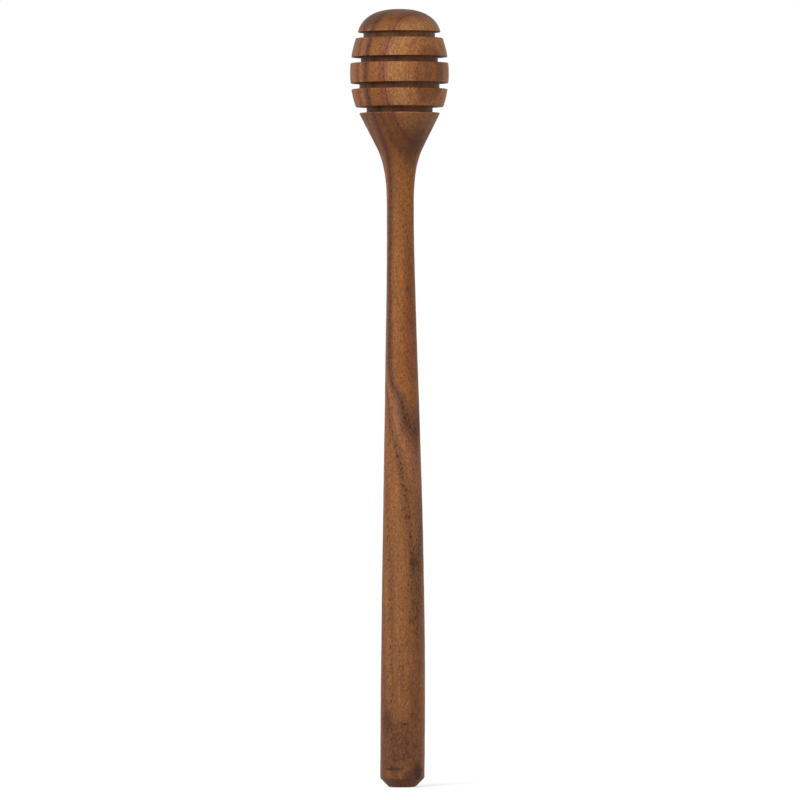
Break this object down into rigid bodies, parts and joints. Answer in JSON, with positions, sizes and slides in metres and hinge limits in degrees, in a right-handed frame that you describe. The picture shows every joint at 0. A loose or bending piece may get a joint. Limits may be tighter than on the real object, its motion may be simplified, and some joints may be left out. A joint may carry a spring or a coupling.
{
  "type": "honey dipper",
  "caption": "Turned wooden honey dipper with a domed, grooved head on a slim tapered handle.",
  "frame": {"origin": "centre of the flat at the butt end of the handle", "axes": "+Z along the turning axis, from the butt end up to the top of the dome; the form is round, so X and Y are free, and the picture looks along +Y"},
  "size_m": [0.0254, 0.0254, 0.2],
  "materials": {
    "teak": "oiled satin"
  },
  "bodies": {
    "root": {"dome": "teak", "upper_ring": "teak", "middle_ring": "teak", "lower_ring": "teak", "core": "teak", "neck": "teak", "handle": "teak"}
  },
  "joints": []
}
